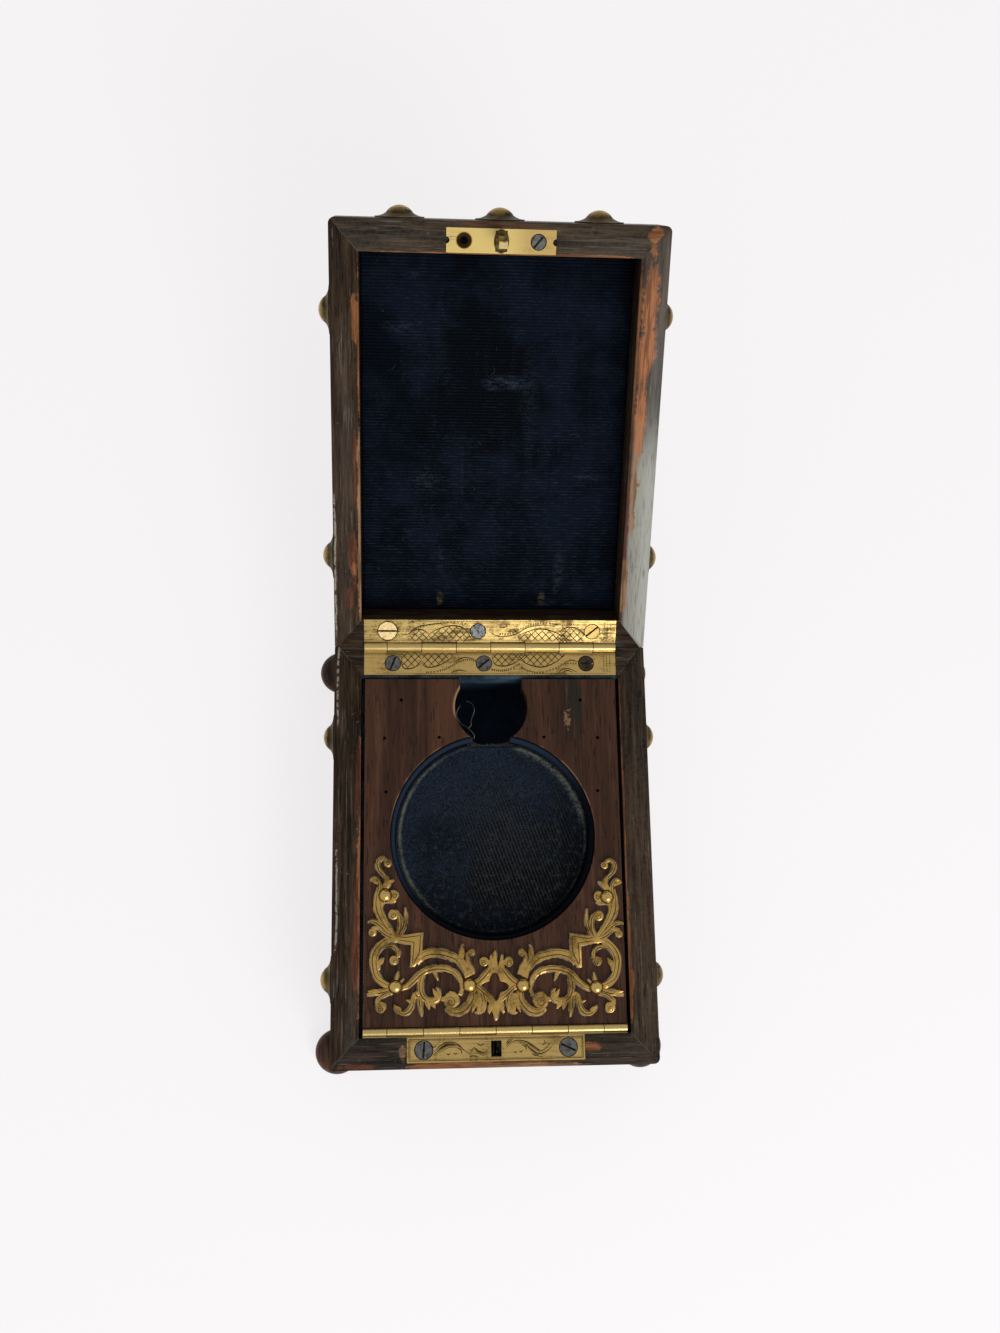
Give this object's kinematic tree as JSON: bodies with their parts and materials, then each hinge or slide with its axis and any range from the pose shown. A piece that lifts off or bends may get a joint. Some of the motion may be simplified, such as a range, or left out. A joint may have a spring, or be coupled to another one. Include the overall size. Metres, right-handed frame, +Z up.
{
  "type": "pocket watch case",
  "caption": "Hinged wooden travelling case for a pocket watch, with a lift-up panel cut to seat the watch, scrolled brass mounts, velvet linings, a lock and bun feet.",
  "frame": {"origin": "centre of the base board's underside", "axes": "+X to the right, +Y towards the lid hinge, +Z up"},
  "size_m": [0.092, 0.2067, 0.0883],
  "materials": {
    "ebonised_wood": "worn dark polish, orange wood showing at the edges",
    "panel_wood": "satin red-brown rosewood, grain front to back",
    "plain_wood": "unfinished",
    "navy_velvet": "ribbed silk velvet, worn",
    "lining_cloth": "smooth blue cloth",
    "brass": "engraved, satin",
    "old_brass": "tarnished",
    "steel": "dull",
    "dark_steel": "corroded"
  },
  "bodies": {
    "base": {"base_front_wall": "ebonised_wood", "base_back_wall": "ebonised_wood", "base_left_wall": "ebonised_wood", "base_right_wall": "ebonised_wood", "base_floor": "plain_wood", "bun_feet": "ebonised_wood", "base_side_bosses": "old_brass", "base_hinge_leaf": "brass", "base_hinge_screws": "steel", "base_hinge_dark_screw": "dark_steel", "well_floor_lining": "lining_cloth", "well_back_lining": "lining_cloth", "well_front_lining": "lining_cloth", "well_left_lining": "lining_cloth", "well_right_lining": "lining_cloth", "lock_plate": "brass", "lock_plate_screws": "steel", "lock_case": "steel", "lock_spring": "steel", "keyhole_liner": "brass", "rail_hinge_leaf": "brass"},
    "lid": {"lid_front_wall": "ebonised_wood", "lid_back_wall": "ebonised_wood", "lid_left_wall": "ebonised_wood", "lid_right_wall": "ebonised_wood", "lid_board": "ebonised_wood", "lid_velvet_pad": "navy_velvet", "lid_hinge_leaf": "brass", "lid_hinge_brass_screws": "brass", "lid_hinge_steel_screw": "steel", "lid_front_bosses": "old_brass", "lid_side_bosses": "old_brass", "strike_plate": "brass", "strike_hook": "brass", "strike_plate_screw": "steel"},
    "panel": {"watch_panel": "panel_wood", "recess_lining": "navy_velvet", "cup_backing": "plain_wood", "watch_pad": "navy_velvet", "panel_hinge_leaf": "brass", "scroll_fretwork": "brass", "dome_nails": "brass"},
    "bolt": {"lock_bolt": "steel"},
    "lid_pin": {"lid_hinge_pin": "steel"},
    "panel_pin": {"panel_hinge_pin": "steel"}
  },
  "joints": [
    {"name": "lid_hinge", "type": "hinge", "parent": "base", "child": "lid", "pos_m": [0, 0.0528, 0.0221], "axis": [-1, 0, 0], "range_deg": [-147, 0]},
    {"name": "panel_hinge", "type": "hinge", "parent": "base", "child": "panel", "pos_m": [0, -0.0452, 0.0215], "axis": [1, 0, 0], "range_deg": [0, 100]},
    {"name": "bolt_slide", "type": "slide", "parent": "base", "child": "bolt", "axis": [-1, 0, 0], "range_m": [0, 0.0036]},
    {"name": "lid_pin_turn", "type": "hinge", "parent": "base", "child": "lid_pin", "pos_m": [0, 0.0528, 0.0221], "axis": [1, 0, 0], "continuous": true},
    {"name": "panel_pin_turn", "type": "hinge", "parent": "base", "child": "panel_pin", "pos_m": [0, -0.0452, 0.0215], "axis": [1, 0, 0], "continuous": true}
  ]
}
